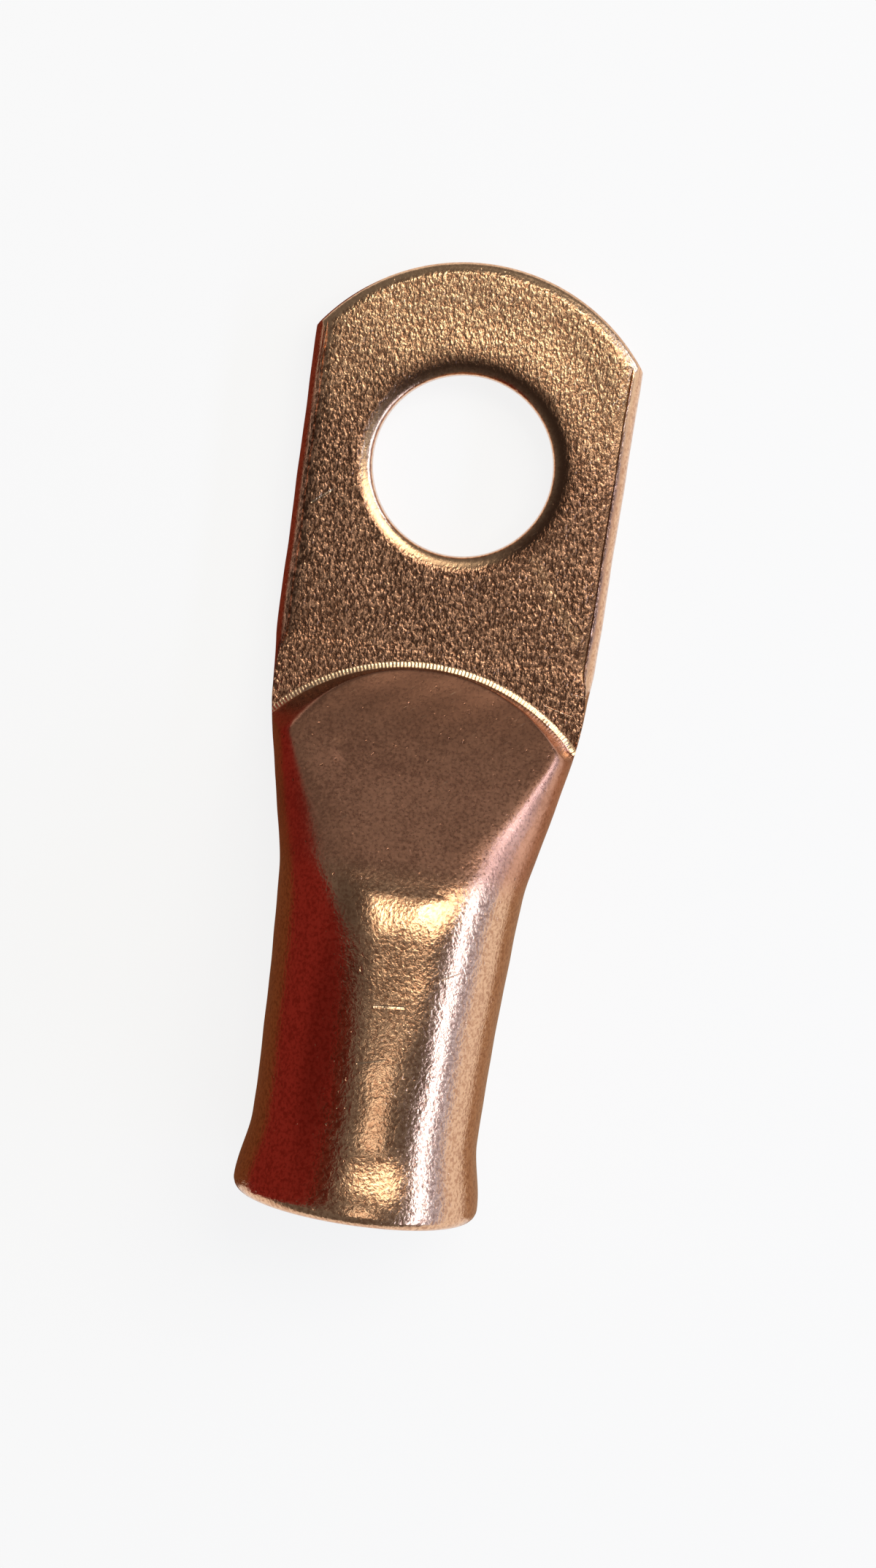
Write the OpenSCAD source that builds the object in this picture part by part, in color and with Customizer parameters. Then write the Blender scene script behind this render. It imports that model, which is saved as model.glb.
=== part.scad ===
// Copper cable lug: one length of tube, pressed flat into a palm with a stud hole at one end and
// left round, with a belled mouth, at the other. Millimetres. The lug lies on its back: the palm's
// back face is z = 0, the origin is on the stud hole's axis, and the barrel's mouth faces +X.

/* [Tube] */
// Outside diameter of the round barrel
tube_d = 13; // [12:0.1:16]
// Wall thickness of the tube
wall = 1.45; // [1.2:0.05:1.6]

/* [Palm] */
// Diameter of the stud hole
stud_hole_d = 10.5; // [8.4:0.1:12]
// Width and depth of the rolled edge round the stud hole
hole_roll = [1.25, 0.5];
// Radius of the palm's tip, about the stud hole
tip_r = 11.7; // [10.5:0.1:14]
// Width and depth of the rolled edge round the tip
tip_roll = [0.85, 0.5];
// Thickness of the pressed palm
palm_t = 2.9; // [2.4:0.05:3.1]
// How much wider than the flattened tube the palm is squeezed at its tip
tip_spread = 0.56; // [0:0.02:1]

/* [Arc step] */
// Distance from the stud hole to the nearest point of the arc step
step_x = 11.6; // [11:0.1:14]
// Radius of the arc step
step_r = 12.1; // [11:0.1:15]
// How far the palm's face is pressed below the flattened tube
coin_depth = 0.35; // [0.2:0.05:0.5]
// How far the step's wall leans back over its height, per millimetre
step_draft = 0.25; // [0.05:0.01:0.3]
// Radius of the hollow along the step's foot
step_foot = 0.2; // [0.1:0.05:0.3]

/* [Ramp] */
// How far ahead of the step the ramp would begin, if the palm weren't pressed
ramp_lead = 0.5; // [0.2:0.05:0.8]
// Length and rise of the ramp's gentler first part
sweep = [4.2, 2.1];
// Angle of the rest of the ramp to the palm
ramp_angle = 36.9; // [33:0.1:44]
// How far the ramp's pressed face lies below its flanks, at its foot and near its head
ramp_sink = [0.3, 0.06];
// How far below the barrel's top line the ramp ends
shoulder_drop = 1.45; // [1:0.05:2]
// How much wider than the flattened tube the ramp is, near its foot and at the shoulder
ramp_spread = [0.6, 0.52];
// Length over which the barrel's top line runs out beyond the shoulder
runout_l = 7.2; // [6:0.1:9]

/* [Barrel] */
// Length of the barrel from the shoulder to the mouth
barrel_l = 18.4; // [17:0.1:30]
// Length over which the shoulder's extra width dies away
neck_l = 12.7; // [11:0.1:13]
// Depth of the round bore from the mouth
bore_l = 14.2; // [13:0.1:14.4]
// Outside diameter of the belled mouth
bell_d = 14.1; // [13.2:0.1:17]
// Length of the belled mouth, up to its rounded rim
bell_l = 4.1; // [3.5:0.1:4.5]
// Radius of the mouth's rounded rim, inside and out
rim_r = 0.7; // [0.3:0.05:0.7]

/* [Hidden] */
$fn = 96;

// Steps round half a section, and the gap that keeps one surface just inside another
half_steps = 20;
shy = 0.015;
cut_room = 1;

// Length over which a turned surface comes up through the end of a lofted one
lead_l = 0.5;

// The back of the palm and the lowest line of the bell share one plane, so the lug lies flat
axis_z = max(bell_d, tube_d) / 2;
barrel_low = axis_z - tube_d / 2;
barrel_top = axis_z + tube_d / 2;
bore_r = tube_d / 2 - wall;
palm_raw = palm_t + coin_depth;

// Stations along the lug
ramp_x = step_x - ramp_lead;
sweep_x = ramp_x + sweep[0];
sweep_z = palm_raw + sweep[1];
knee_z = barrel_top - shoulder_drop;
knee_x = sweep_x + (knee_z - sweep_z) / tan(ramp_angle);
mouth_x = knee_x + barrel_l;
crown_x = mouth_x - rim_r;
bell_x = crown_x - bell_l;
neck_x = knee_x + neck_l;
bore_x = mouth_x - bore_l;
step_cx = step_x + step_r;

// A path is a list of [x, value, rounding]. It is level before its first point and after its last.
function bend(x, x0, r) =
    x <= x0 - r ? 0 : x >= x0 + r ? x - x0 : pow(x - x0 + r, 2) / (4 * r);
function slope(p, i) =
    i < 0 || i >= len(p) - 1 ? 0 : (p[i + 1][1] - p[i][1]) / (p[i + 1][0] - p[i][0]);
function path_at(p, x, i = 0) =
    i == len(p) ? p[0][1]
    : path_at(p, x, i + 1) + (slope(p, i) - slope(p, i - 1)) * bend(x, p[i][0], p[i][2]);

top_path = [[ramp_x, palm_raw, 0.3],
            [sweep_x, sweep_z, 2.5],
            [knee_x, knee_z, 1.0],
            [knee_x + runout_l, barrel_top - shy, 3.5]];
low_path = [[sweep_x - 1, 0, 2],
            [neck_x - 3, barrel_low + shy, 3]];
spread_path = [[-tip_r, tip_spread, 0.01],
               [step_x, 0.12, 1],
               [sweep_x, ramp_spread[0], 1],
               [knee_x, ramp_spread[1], 2],
               [neck_x - 1, 0, 1]];
sink_path = [[sweep_x, ramp_sink[0], 1],
             [knee_x - 3, ramp_sink[1], 1]];

// Pressing a tube flat keeps the length of its wall's middle line, so the height sets the width
function flattened_w(h) =
    wall + (PI * (tube_d - wall) - (PI - 2) * (h - wall)) / 2;
function low_at(x) = path_at(low_path, x);
function high_at(x) = path_at(top_path, x);
function height_at(x) = high_at(x) - low_at(x);
function width_at(x) =
    max(flattened_w(height_at(x)) + path_at(spread_path, x) - PI * shy, height_at(x) + shy);

// One section: flat above and below, half a circle on each side
function section(x, w, h, mid_z) =
    let (r = h / 2, flat = max(w / 2 - r, shy / 2))
    [for (side = [1, -1])
        for (i = [0:half_steps])
            let (a = side * (-90 + 180 * i / half_steps))
            [x, side * (flat + r * cos(a)), mid_z + r * sin(a)]];

// A closed solid through a list of sections with the same number of points each
module loft(rings) {
    n = len(rings[0]);
    last = len(rings) - 1;
    polyhedron(
        points = [for (ring = rings) each ring],
        faces = concat(
            [[for (i = [0:n - 1]) i]],
            [for (k = [0:last - 1])
                for (i = [0:n - 1])
                    let (j = (i + 1) % n)
                    [k * n + j, k * n + i, (k + 1) * n + i, (k + 1) * n + j]],
            [[for (i = [n - 1:-1:0]) last * n + i]]),
        convexity = 6);
}

// The flattened end and its shoulder, before the dies close on it
module pressed_tube() {
    start = ramp_x - 0.3;
    pitch = (neck_x - start) / 40;
    stations = concat([-tip_r - cut_room], [for (i = [0:40]) start + i * pitch]);
    loft([for (x = stations)
        section(x, width_at(x), height_at(x), (high_at(x) + low_at(x)) / 2)]);
}

// Places a turned shape, drawn along z from the origin, on the barrel's axis
module on_axis() {
    translate([0, 0, axis_z]) rotate([0, 90, 0]) children();
}

// The bell's curve: radius at a station, for a wall surface that starts at radius r0
function bell_at(r0, x) = r0 + (bell_d - tube_d) / 2 * pow(max(0, x - bell_x) / bell_l, 2);

// The round end of the barrel, solid
module barrel() {
    steps = 10;
    on_axis() rotate_extrude() polygon(concat(
        [[0, neck_x - lead_l], [tube_d / 2 - 4 * shy, neck_x - lead_l], [tube_d / 2, neck_x]],
        [for (i = [0:steps])
            let (x = bell_x + i * (crown_x - bell_x) / steps)
            [bell_at(tube_d / 2, x), x]],
        [for (i = [1:6])
            let (a = i * 15)
            [bell_at(tube_d / 2, crown_x) - rim_r * (1 - cos(a)), crown_x + rim_r * sin(a)]],
        [[0, mouth_x]]));
}

// The round bore with its belled mouth
module bore() {
    steps = 10;
    on_axis() rotate_extrude() polygon(concat(
        [[0, bore_x - lead_l], [bore_r - 4 * shy, bore_x - lead_l], [bore_r, bore_x]],
        [for (i = [0:steps])
            let (x = bell_x + i * (crown_x - bell_x) / steps)
            [bell_at(bore_r, x), x]],
        [for (i = [1:6])
            let (a = i * 15)
            [bell_at(bore_r, crown_x) + rim_r * (1 - cos(a)), crown_x + rim_r * sin(a)]],
        [[bell_at(bore_r, crown_x) + rim_r, mouth_x + cut_room], [0, mouth_x + cut_room]]));
}

// The hollow inside the shoulder, down to where the coined palm closes the walls on each other
module shoulder_cavity() {
    blend_l = 4;
    steps = 18;
    start = step_x;
    intersection() {
        loft([for (i = [0:steps + 1])
            let (x = i > steps ? bore_x : start + i * (bore_x - lead_l - start) / steps,
                 s = max(0, min(1, (x - bore_x + lead_l + blend_l) / blend_l)),
                 w = width_at(x) - 2 * wall,
                 h = max(height_at(x) - 2 * wall, 0.3),
                 mid = (high_at(x) + low_at(x)) / 2,
                 round_d = 2 * bore_r - 2 * shy)
            section(x, w + (round_d - w) * s, h + (round_d - h) * s, mid + (axis_z - mid) * s)]);
        union() {
            translate([step_cx, 0, 0]) cylinder(h = tube_d, r = step_r - wall);
            translate([step_cx, -tube_d, 0]) cube([mouth_x - step_cx, 2 * tube_d, 2 * tube_d]);
        }
    }
}

// Coins the palm's face and leaves the arc step, with its hollow foot and its drafted wall
module palm_die() {
    rise = tube_d;
    steps = 5;
    difference() {
        translate([-tip_r - cut_room, -tube_d, palm_t])
            cube([step_cx + tip_r + cut_room, 2 * tube_d, rise]);
        translate([step_cx, 0, 0]) rotate_extrude() polygon(concat(
            [[0, palm_t - cut_room], [step_r + step_foot, palm_t - cut_room]],
            [for (i = [0:steps])
                let (a = 90 * i / steps)
                [step_r + step_foot * (1 - sin(a)), palm_t + step_foot * (1 - cos(a))]],
            [[step_r - (rise + cut_room) * step_draft, palm_t + rise + cut_room],
             [0, palm_t + rise + cut_room]]));
    }
}

// Presses the ramp's flat face; it fades out at the shoulder
module ramp_die() {
    fade_l = 1.5;
    steps = 30;
    start = ramp_x;
    end = knee_x + fade_l;
    rotate([90, 0, 0])
        linear_extrude(height = 2 * tube_d, center = true)
            polygon(concat(
                [for (i = [0:steps])
                    let (x = start + i * (end - start) / steps,
                         s = max(0, (x - knee_x + fade_l) / (2 * fade_l)),
                         sink = path_at(sink_path, x))
                    [x, high_at(x) - sink + (sink + 0.06) * s]],
                [[end, barrel_top + cut_room], [start, barrel_top + cut_room]]));
}

// Takes the corner off a round edge: from radius r outwards (dir 1) or inwards (dir -1)
module edge_roll(r, roll, dir) {
    steps = 9;
    rotate_extrude() polygon(concat(
        [for (i = [0:steps])
            let (a = 90 * i / steps)
            [r + dir * roll[0] * (1 - cos(a)), palm_t - roll[1] * (1 - sin(a))]],
        [[r + dir * roll[0], palm_t + cut_room],
         [r - dir * cut_room, palm_t + cut_room],
         [r - dir * cut_room, palm_t - roll[1]]]));
}

// The outline that the blanking die leaves: round at the tip, open towards the barrel
module blank_outline() {
    tall = barrel_top + 4 * cut_room;
    translate([0, 0, -cut_room]) cylinder(h = tall, r = tip_r);
    translate([0, -tube_d, -cut_room]) cube([mouth_x + cut_room, 2 * tube_d, tall]);
}

module lug() {
    color([0.72, 0.45, 0.30])
    difference() {
        intersection() {
            union() {
                pressed_tube();
                barrel();
            }
            blank_outline();
        }
        palm_die();
        ramp_die();
        shoulder_cavity();
        bore();
        translate([0, 0, -cut_room]) cylinder(h = palm_t + 2 * cut_room, d = stud_hole_d);
        edge_roll(stud_hole_d / 2, hole_roll, 1);
        intersection() {
            edge_roll(tip_r, tip_roll, -1);
            translate([-2 * tip_r, -tip_r, 0]) cube([2 * tip_r, 2 * tip_r, palm_t + 2 * cut_room]);
        }
    }
}

lug();
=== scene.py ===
"""Looks of the copper cable lug: one detailed mesh in place of the CAD node, on a pale floor.

The shape follows the part's own laws. Lengths are millimetres, and MM turns them into metres, but
the floor, the lamps and the camera's clipping are given in metres.
"""

import math
from types import SimpleNamespace

import bmesh
import bpy
import numpy as np
from mathutils import Matrix, Vector


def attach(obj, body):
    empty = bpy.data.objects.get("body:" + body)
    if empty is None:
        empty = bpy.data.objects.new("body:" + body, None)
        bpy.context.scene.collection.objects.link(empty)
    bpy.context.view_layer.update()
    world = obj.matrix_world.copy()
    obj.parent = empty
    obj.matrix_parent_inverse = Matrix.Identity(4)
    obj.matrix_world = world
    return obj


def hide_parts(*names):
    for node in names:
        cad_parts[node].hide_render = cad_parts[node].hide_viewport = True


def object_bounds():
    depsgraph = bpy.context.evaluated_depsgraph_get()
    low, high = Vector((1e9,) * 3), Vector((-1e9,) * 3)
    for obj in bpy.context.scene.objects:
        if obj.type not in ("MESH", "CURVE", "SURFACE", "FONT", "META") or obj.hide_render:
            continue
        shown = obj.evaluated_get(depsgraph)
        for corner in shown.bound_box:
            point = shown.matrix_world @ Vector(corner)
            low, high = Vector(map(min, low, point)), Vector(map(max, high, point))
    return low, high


MM = 0.001

# The tube, and the palm that is pressed from it. A roll is (reach along the face, depth)
TUBE_D, WALL = 13.0, 1.45
AXIS_Z = 7.05
HOLE_R, HOLE_ROLL = 5.25, (1.6, 0.5)
TIP_R, TIP_ROLL = 11.7, (1.15, 0.5)
PALM_T, TIP_SPREAD = 2.9, 0.56
SEAM_DEPTH, ROLL_RISE = 0.05, 0.004

# The arc step: its apex and radius, how deep the palm is coined, the wall and the foot's bevel,
# and the die's limits: short of the arc's centre, to each side, and behind the arc
STEP_X, STEP_R, COIN_DEPTH = 11.85, 12.1, 0.35
STEP_DRAFT, BEVEL_W, BEVEL_RISE, BEVEL_POWER = 0.25, 0.30, 0.095, 1.2
STEP_SIDE, BOW_HALF, DIE_REACH = 3.0, 11, 1.2

# The step's wall leans back more towards its left end: how much more, from where, over what length
LEAN_MORE, LEAN_START, LEAN_L = 0.75, 2, 6

# The ramp: a concave sweep, then a straight face up to its upper end
RAMP_LEAD, SWEEP_L, SWEEP_RISE, RAMP_ANGLE = 0.75, 4.2, 2.1, 36.9
SINK_FOOT, SINK_HEAD = 0.3, 0.06
FACE_LIFT, KNEE_BACK = 0.02, 0.9

# Behind the knee the pressed face leaves the tube: where it starts, over what length, how steeply
LEAVE_LEAD, LEAVE_L, LEAVE_RISE = 1.2, 2.6, 3

# The shoulder from the ramp's end up to the barrel's top, and how far the sides spread
SHOULDER_DROP, CREST_L, CREST_DROP, RUNOUT = 1.45, 1.4, 0.78, 7.8
SPREAD_STEP, SPREAD_FOOT, SPREAD_KNEE = 0.12, 0.6, 0.52

# The barrel
BARREL_L, NECK_L, BORE_L = 18.4, 12.7, 14.2
BELL_D, BELL_L, RIM_R = 14.1, 3.9, 0.7
SLIT_H, HOLLOW_BLEND = 0.3, 4.0

BARREL_LOW, BARREL_TOP = AXIS_Z - TUBE_D / 2, AXIS_Z + TUBE_D / 2
BORE_R = TUBE_D / 2 - WALL
PALM_RAW = PALM_T + COIN_DEPTH
RAMP_X = STEP_X - RAMP_LEAD
SWEEP_X, SWEEP_Z = RAMP_X + SWEEP_L, PALM_RAW + SWEEP_RISE
KNEE_Z = BARREL_TOP - SHOULDER_DROP
KNEE_X = SWEEP_X + (KNEE_Z - SWEEP_Z) / math.tan(math.radians(RAMP_ANGLE))
MOUTH_X = KNEE_X + BARREL_L
CROWN_X = MOUTH_X - RIM_R
BELL_X = CROWN_X - BELL_L
NECK_X = KNEE_X + NECK_L
BORE_X = MOUTH_X - BORE_L
STEP_CX = STEP_X + STEP_R
SLIT_X = STEP_X + WALL

# A path is a list of (x, value, rounding), level before its first point and after its last
TOP_PATH = [(RAMP_X, PALM_RAW, 0.3), (SWEEP_X, SWEEP_Z, 2.5),
            (KNEE_X - KNEE_BACK, KNEE_Z, 0.8),
            (KNEE_X + CREST_L, BARREL_TOP - CREST_DROP, 1.0),
            (KNEE_X + RUNOUT, BARREL_TOP, 3.5)]
LOW_PATH = [(SWEEP_X - 1, 0, 2), (NECK_X - 3, BARREL_LOW, 3)]
SPREAD_PATH = [(-TIP_R, TIP_SPREAD, 0.01), (STEP_X, SPREAD_STEP, 1), (SWEEP_X, SPREAD_FOOT, 1),
               (KNEE_X, SPREAD_KNEE, 2), (NECK_X - 1, 0, 1)]
SINK_PATH = [(SWEEP_X, SINK_FOOT, 1), (KNEE_X - 3, SINK_HEAD, 1)]

# How far the rounded flank reaches in from the side, at stations along the lug
FLANK_X = (-13.0, 12.0, 14.0, 15.6, 17.3, 19.4, 21.5, 23.9, 27.5, 37.0, 43.0)
FLANK_W = (1.62, 1.65, 1.75, 1.95, 2.7, 4.2, 5.5, 5.8, 6.35, 6.5, 6.5)

# Softness of the edge round the ramp's face, and of the top edge of the step with its fade
FACE_EDGE, WALL_EDGE, WALL_FADE = 0.38, 0.10, 0.5

# Sine of the angle where the face's shoulder ends and the side begins: range on the palm, value
# on the ramp, and the change between them; and how deep the palm's die trims the sides
FOLD_RANGE, FOLD_RAMP, FOLD_LEAD, FOLD_L, SIDE_TRIM = (0.05, 0.95), 0.7, 0.1, 5, 0.3

# How fast a point of the hollow's ring runs out along its flat as the angle turns
HOLLOW_TURN = 2.2

# Unevenness falls to this share towards the bell, from CALM_X behind the mouth and over CALM_L.
# The back has none and dents are on the upper side alone, by these limits of the normal's z
CALM_SHARE, CALM_X, CALM_L = 0.25, 6.5, 1.5
BACK_NZ, MARK_NZ = -0.7, 0.2

# Dents and nicks, in millimetres: centre (x, y), half sizes, turn in degrees, depth
MARKS = (
    (16.9, -4.6, 0.55, 0.28, 20, 0.10),
    (23.8, 2.3, 0.16, 0.16, 0, 0.05),
    (35.4, -2.7, 1.5, 0.35, 25, 0.06),
    (31.9, -1.9, 0.25, 1.1, 8, 0.035),
    (40.0, 1.6, 0.5, 0.9, 0, 0.03),
    (15.3, 8.5, 0.35, 0.35, 0, 0.10),
)

# Columns of the grid, on one half: pressed face, its shoulder, the side, the back
FACET_COLS, SHOULDER_COLS, SIDE_COLS, BACK_COLS = 30, 9, 24, 9

# Rows of the grid start ahead of the tip; they lie close together over the step and the knee
ROWS_START, STEP_ROWS, KNEE_ROWS = -13.0, (-0.4, 0.75), (-1.2, 2.4)
ROW_COUNTS = {"palm": 86, "step": 42, "ramp": 44, "knee": 24, "barrel": 36, "bell": 14, "rim": 8}
INNER_COUNTS = {"rim": 7, "bell": 12, "bore": 12, "hollow": 26}

# A ring follows the arc, so its points are found by trial from a first guess of the palm's edge
EDGE_GUESS, EDGE_TRIES = 9.0, 12

# The cutters of the hole and the tip: steps round the roll, the flare above it, the heights of
# their two lowest points, and how far they reach above the palm and out past the tip
ROLL_STEPS, CUT_FLARE = 12, (0.9, 0.09)
CUT_LOW, CUT_FOOT, CUT_HIGH, CUT_OUT = -1.0, -0.02, 3, 8

SMOOTH_ANGLE = 32


def bend(x, x0, r):
    """0 before x0 and x - x0 after it, rounded within r of x0."""
    y = np.where(x >= x0 + r, x - x0, (x - x0 + r) ** 2 / (4 * r))
    return np.where(x <= x0 - r, 0, y)


def path_at(path, x):
    """Value of a path at x: straight between its points, rounded at each of them."""
    x = np.asarray(x, float)
    value = np.full(x.shape, float(path[0][1]))
    before = 0.0
    for i, (x0, v0, r) in enumerate(path):
        last = i == len(path) - 1
        after = 0.0 if last else (path[i + 1][1] - v0) / (path[i + 1][0] - x0)
        value = value + (after - before) * bend(x, x0, r)
        before = after
    return value


def ease(t):
    """A smooth step from 0 to 1."""
    t = np.clip(t, 0, 1)
    return t * t * (3 - 2 * t)


def high_at(x):
    return path_at(TOP_PATH, x)


def low_at(x):
    return path_at(LOW_PATH, x)


def width_at(x):
    """Pressing a tube flat keeps the length of its wall's middle line."""
    h = high_at(x) - low_at(x)
    flat = WALL + (math.pi * (TUBE_D - WALL) - (math.pi - 2) * (h - WALL)) / 2
    return np.maximum(flat + path_at(SPREAD_PATH, x), h)


def flank_at(x):
    """Half axis of the flank's ellipse, across the lug."""
    w = np.interp(x, FLANK_X, FLANK_W)
    for d in (0.5, 1.0):
        w = (w + np.interp(x - d, FLANK_X, FLANK_W) + np.interp(x + d, FLANK_X, FLANK_W)) / 3
    return np.minimum(w, width_at(x) / 2)


def bow(y):
    """How far the arc step has run back from its nearest point, at a place y across the palm."""
    return STEP_CX - STEP_X - np.sqrt(STEP_R ** 2 - np.minimum(np.abs(y), BOW_HALF) ** 2)


def wall_lean(y):
    """The step's wall leans back further towards its left end."""
    return STEP_DRAFT * (1 + LEAN_MORE * ease((-y - LEAN_START) / LEAN_L))


def die_z(x, y):
    """Height of the palm die's underside: the coined face, then the bevel and wall of the step."""
    s = np.hypot(STEP_CX - x, y) - STEP_R
    bevel = np.clip((BEVEL_W - s) / BEVEL_W, 0, 1)
    return PALM_T + BEVEL_RISE * bevel ** BEVEL_POWER + np.maximum(0, -s) / wall_lean(y)


def waves(x, y, z):
    """Slow unevenness of the pressed and drawn copper."""
    return (0.011 * np.sin(0.9 * x + 0.7 * np.sin(0.8 * y + 0.4) + 0.3 * z)
            + 0.008 * np.sin(1.3 * y - 0.5 * x + 1.1 * np.sin(0.45 * x))
            + 0.005 * np.sin(2.3 * x + 1.9 * y + 0.8 * z + 1.3))


def grid_rows():
    """Rows of the outer skin: (station on the middle line, how far it follows the arc)."""
    rows = [(x, float(ease((x + 3) / (STEP_X + 2))))
            for x in np.linspace(ROWS_START, STEP_X - 0.55, ROW_COUNTS["palm"])]
    rows += [(STEP_X + s, 1.0) for s in np.linspace(*STEP_ROWS, ROW_COUNTS["step"])]
    ramp, knee, barrel = STEP_X + STEP_ROWS[1], KNEE_X + KNEE_ROWS[0], KNEE_X + KNEE_ROWS[1]
    for start, end, count in ((ramp, knee, ROW_COUNTS["ramp"]),
                              (knee, barrel, ROW_COUNTS["knee"])):
        rows += [(x, float(1 - ease((x - ramp) / (KNEE_X + 2 - ramp))))
                 for x in np.linspace(start, end, count)[1:]]
    rows += [(x, 0.0) for x in np.linspace(barrel, BELL_X, ROW_COUNTS["barrel"])[1:]]
    return rows


# Bands of a ring, from the top round to the back
FACE, SHOULDER, SIDE, BACK = 0, 1, 2, 3


def half_columns():
    """The band of each column on one half, and its place in the band from 0 to 1."""
    cols = [(FACE, t) for t in np.linspace(0, 1, FACET_COLS + 1)[:-1]]
    cols[-1:] = [(FACE, 0.975), (FACE, 0.993)]
    cols += [(SHOULDER, 0.0), (SHOULDER, 0.06)]
    cols += [(SHOULDER, t) for t in np.linspace(0.12, 0.9, SHOULDER_COLS)]
    cols += [(SIDE, 0.0), (SIDE, 0.02)]
    cols += [(SIDE, t) for t in np.linspace(0.06, 1, SIDE_COLS)]
    cols += [(BACK, t) for t in np.linspace(0, 1, BACK_COLS + 1)[1:]]
    return np.array([c[0] for c in cols]), np.array([c[1] for c in cols])


BAND, PLACE = half_columns()


def fold_sine_at(x):
    """Sine of the angle on the flank where the palm's face ends; it moves up along the ramp."""
    high, low = high_at(x), low_at(x)
    palm = np.clip((2 * PALM_T - high - low) / (high - low), *FOLD_RANGE)
    return palm + (FOLD_RAMP - palm) * ease((x - SWEEP_X + FOLD_LEAD) / FOLD_L)


def section_at(x):
    """Half axes of the flank, its middle height, and three half widths: of the flat between the
    flanks, of the pressed face, and out to the fold where the side begins."""
    high, low = high_at(x), low_at(x)
    a, b = flank_at(x), (high - low) / 2
    flat = width_at(x) / 2 - a
    drop = np.minimum(path_at(SINK_PATH, x) / b, 1)
    face_y = flat + a * np.sqrt(1 - (1 - drop) ** 2)
    side_y = flat + a * np.sqrt(1 - fold_sine_at(x) ** 2)
    return a, b, (high + low) / 2, flat, face_y, side_y


def lower_of(a, b, soft):
    """The lower of two heights, with a soft change from one to the other."""
    return (a + b - np.sqrt((a - b) ** 2 + soft ** 2)) / 2


def pressed_z(x, y, raw, sign):
    """The tube's skin under both dies: the ramp's face, then the palm with its step."""
    sunk = 1 - ease((x - KNEE_X + LEAVE_LEAD) / LEAVE_L)
    face = high_at(x) - path_at(SINK_PATH, x) * sunk + LEAVE_RISE * (1 - sunk) ** 2
    z = lower_of(raw, face, FACE_EDGE) + FACE_LIFT * (1 - sunk)
    ahead = STEP_R - np.hypot(STEP_CX - x, y)
    free = (ahead > DIE_REACH) | (x > STEP_CX - STEP_SIDE)
    edge = WALL_EDGE * ease((ahead + WALL_FADE) / WALL_FADE)
    return np.where(free, z, lower_of(z, die_z(x, sign * y), edge))


def column_y(face_y, side_y):
    """How far out each column of the pressed face and its shoulder lies."""
    return np.where(BAND == FACE, PLACE * face_y, face_y + PLACE * (side_y - face_y))


def skin_row(station, follow):
    """One ring of the outer skin: the half with y >= 0, then the other half back to the top."""
    halves = []
    for sign in (1, -1):
        edge_y, x = EDGE_GUESS, np.full(BAND.shape, station)
        for _ in range(EDGE_TRIES):
            xe = float(station + follow * bow(edge_y))
            edge_y = float(section_at(np.array(xe))[5])
            y = column_y(*section_at(x)[4:])
            x = np.where(BAND < SIDE, station + follow * bow(y), xe)
        a, b, mid, flat, face_y, side_y = section_at(x)
        y = column_y(face_y, side_y)
        q = np.clip((y - flat) / a, 0, 1)
        z = pressed_z(x, y, mid + b * np.sqrt(1 - q * q), sign)
        side, back = BAND == SIDE, BAND == BACK
        turn = np.arcsin(fold_sine_at(x))
        phi = turn - PLACE * (math.pi / 2 + turn)
        y = np.where(side, flat + a * np.cos(phi), y)
        fold_z = mid + b * np.sin(phi)
        under = (x < STEP_CX - STEP_SIDE) & (fold_z > PALM_T - SIDE_TRIM)
        z = np.where(side, np.where(under, np.minimum(fold_z, die_z(x, sign * y)), fold_z), z)
        y = np.where(back, flat * (1 - PLACE), y)
        z = np.where(back, mid - b, z)
        halves.append(np.stack([x, sign * y, z], axis=-1).tolist())
    right, left = halves
    return right + left[-2:0:-1]


def ring_angles(ring):
    """The angle of each point of a ring round the barrel's axis, from its top."""
    p = np.asarray(ring)
    return np.unwrap(np.arctan2(p[:, 1], p[:, 2] - AXIS_Z))


def round_ring(x, r, angles):
    return [(x, r * math.sin(a), AXIS_Z + r * math.cos(a)) for a in angles]


def stadium_ring(x, w, h, mid, angles):
    """A section inside the shoulder: flat above and below, round at the sides."""
    r = h / 2
    flat = max(w / 2 - r, 0)
    ring = []
    for a in angles:
        c, s = math.cos(a), math.sin(a)
        side = math.tanh(HOLLOW_TURN * s) / math.tanh(HOLLOW_TURN)
        ring.append((x, flat * side + r * s, mid + r * c))
    return ring


def bell_radius(r0, x):
    """A radius that starts as r0 and flares out in the bell."""
    return r0 + (BELL_D - TUBE_D) / 2 * ease((x - BELL_X) / BELL_L)


def inner_rings(angles):
    """From the rim inwards: the belled mouth, the bore, and the hollow that closes to a slit."""
    rings = []
    crown_in = bell_radius(BORE_R, CROWN_X)
    for a in np.radians(np.linspace(90, 0, INNER_COUNTS["rim"])):
        rings.append(round_ring(CROWN_X + RIM_R * math.sin(a),
                                crown_in + RIM_R * (1 - math.cos(a)), angles))
    for x in np.linspace(CROWN_X, BELL_X, INNER_COUNTS["bell"])[1:]:
        rings.append(round_ring(x, bell_radius(BORE_R, x), angles))
    for x in np.linspace(BELL_X, BORE_X, INNER_COUNTS["bore"])[1:]:
        rings.append(round_ring(x, BORE_R, angles))
    for x in np.linspace(BORE_X, SLIT_X, INNER_COUNTS["hollow"])[1:]:
        s = max(0.0, min(1.0, (x - BORE_X + HOLLOW_BLEND) / HOLLOW_BLEND))
        high, low = float(high_at(x)), float(low_at(x))
        w = float(width_at(x)) - 2 * WALL
        h = max(high - low - 2 * WALL, SLIT_H)
        mid = (high + low) / 2
        rings.append(stadium_ring(x, w + (2 * BORE_R - w) * s, h + (2 * BORE_R - h) * s,
                                  mid + (AXIS_Z - mid) * s, angles))
    return rings


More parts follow.
